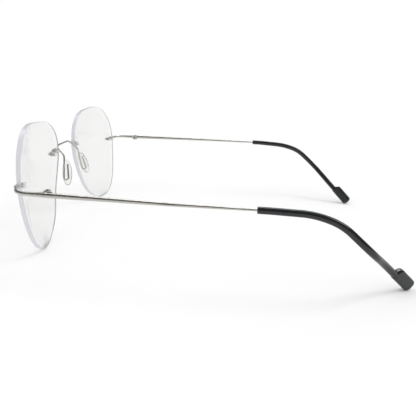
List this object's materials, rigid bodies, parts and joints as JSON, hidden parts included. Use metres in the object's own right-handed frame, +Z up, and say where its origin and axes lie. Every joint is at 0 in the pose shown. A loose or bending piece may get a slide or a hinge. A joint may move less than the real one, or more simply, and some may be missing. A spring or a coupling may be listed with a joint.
{
  "type": "rimless eyeglasses",
  "caption": "Rimless eyeglasses: drilled clear lenses on a bent wire bridge with soft nose pads, wire temples that fold on small screw hinges, and black curved ear tips.",
  "frame": {"origin": "on the table under the middle of the glasses, standing with the temples open", "axes": "+X across the face towards the wearer's left, +Y back along the temples, +Z up; the lens fronts face -Y"},
  "size_m": [0.1518, 0.1458, 0.0478],
  "materials": {
    "lens_resin": "clear polished lens with a flat polished edge",
    "titanium_wire": "satin polished titanium wire",
    "titanium_hinge": "satin machined titanium",
    "screw_steel": "polished screw",
    "clear_plug": "clear moulded plastic",
    "pad_silicone": "soft translucent silicone",
    "tip_black": "satin black"
  },
  "bodies": {
    "front": {"bridge_wire": "titanium_wire", "lens_left": "lens_resin", "nose_pad_left": "pad_silicone", "bridge_staple_left": "titanium_wire", "bridge_plug_left": "clear_plug", "temple_staple_left": "titanium_wire", "temple_plug_left": "clear_plug", "endpiece_wire_left": "titanium_wire", "hinge_lugs_left": "titanium_hinge", "hinge_screw_left": "screw_steel", "lens_right": "lens_resin", "nose_pad_right": "pad_silicone", "bridge_staple_right": "titanium_wire", "bridge_plug_right": "clear_plug", "temple_staple_right": "titanium_wire", "temple_plug_right": "clear_plug", "endpiece_wire_right": "titanium_wire", "hinge_lugs_right": "titanium_hinge", "hinge_screw_right": "screw_steel"},
    "temple_left": {"temple_wire_left": "titanium_wire", "temple_tip_left": "tip_black", "hinge_knuckle_left": "titanium_hinge"},
    "temple_right": {"temple_wire_right": "titanium_wire", "temple_tip_right": "tip_black", "hinge_knuckle_right": "titanium_hinge"}
  },
  "joints": [
    {"name": "temple_left_fold", "type": "hinge", "parent": "front", "child": "temple_left", "pos_m": [0.0695, -0.05245, 0.0289], "axis": [0, 0, 1], "range_deg": [0, 85]},
    {"name": "temple_right_fold", "type": "hinge", "parent": "front", "child": "temple_right", "pos_m": [-0.0695, -0.05245, 0.0289], "axis": [0, 0, -1], "range_deg": [0, 75]}
  ]
}
